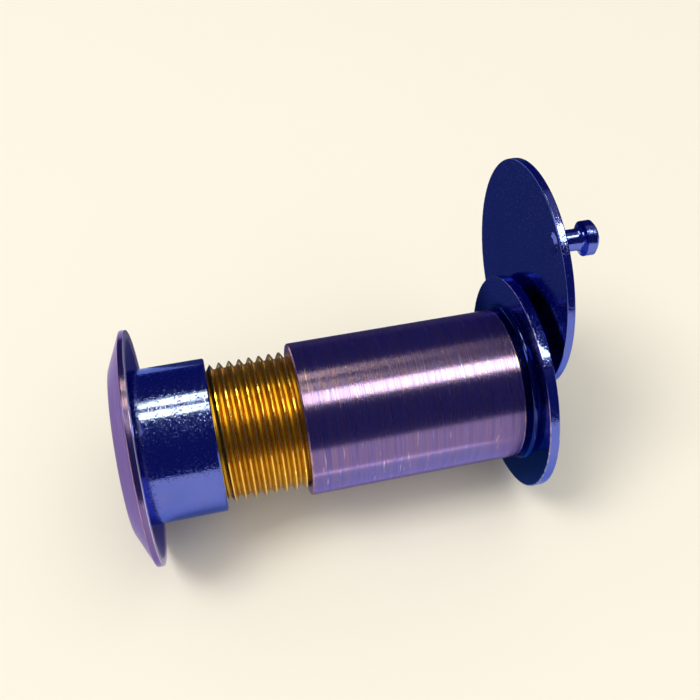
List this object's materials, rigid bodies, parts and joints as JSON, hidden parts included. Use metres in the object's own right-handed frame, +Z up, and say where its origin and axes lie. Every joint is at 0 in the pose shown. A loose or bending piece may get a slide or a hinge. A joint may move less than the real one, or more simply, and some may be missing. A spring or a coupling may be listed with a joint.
{
  "type": "door viewer",
  "caption": "Door viewer with a screw-adjusted barrel, a flanged lens head outside and a round swing cover over the eyepiece inside.",
  "frame": {"origin": "on the barrel's axis, in the plane where the inner flange seats on the door", "axes": "+X along the barrel towards the room (the cover's side), -X towards the outside, +Z up as the viewer lies on its side, +Y towards the side where the cover's rivet is"},
  "size_m": [0.0455, 0.0279, 0.0332],
  "materials": {
    "brushed_copper": "antique copper plate, finely brushed round the axis, clear lacquer",
    "dark_plate": "smooth glossy dark plating with a blue cast",
    "bare_brass": "bare turned brass",
    "black_anodised": "matt black anodised",
    "cup_blue": "dark blue-green moulded plastic, satin",
    "spring_steel": "bright spring steel",
    "seal_rubber": "black rubber",
    "lens_glass": "polished, coated"
  },
  "bodies": {
    "inside_half": {"eyepiece_tube": "brushed_copper", "inner_flange": "dark_plate", "eyepiece_lens": "lens_glass", "eyepiece_retainer": "black_anodised", "pivot_rivet": "dark_plate", "pivot_washer": "spring_steel", "spring_washer": "spring_steel"},
    "cover": {"cover_disc": "dark_plate", "cover_knob": "dark_plate"},
    "lens_stack": {"front_lens": "lens_glass", "front_lens_seal": "seal_rubber", "front_spacer": "black_anodised", "aperture_stop": "black_anodised", "second_lens": "lens_glass", "middle_spacer": "black_anodised", "third_lens": "lens_glass"},
    "outside_half": {"lens_head": "brushed_copper", "lens_collar": "dark_plate", "threaded_barrel": "bare_brass", "lens_cup": "cup_blue", "lens_retainer": "black_anodised"}
  },
  "joints": [
    {"name": "cover_swing", "type": "hinge", "parent": "inside_half", "child": "cover", "pos_m": [0.0022, 0.00932, 0.00185], "axis": [1, 0, 0], "range_deg": [-106.3, 73.7]},
    {"name": "barrel_travel", "type": "slide", "parent": "inside_half", "child": "lens_stack", "axis": [1, 0, 0], "range_m": [-0.0055, 0.008]},
    {"name": "barrel_turn", "type": "hinge", "parent": "lens_stack", "child": "outside_half", "pos_m": [-0.03, 0, 0], "axis": [1, 0, 0], "range_deg": [-1984, 2884]}
  ],
  "couplings": [
    {"joint": "barrel_turn", "follows": "barrel_travel", "rad_per_m": 6283.2}
  ]
}
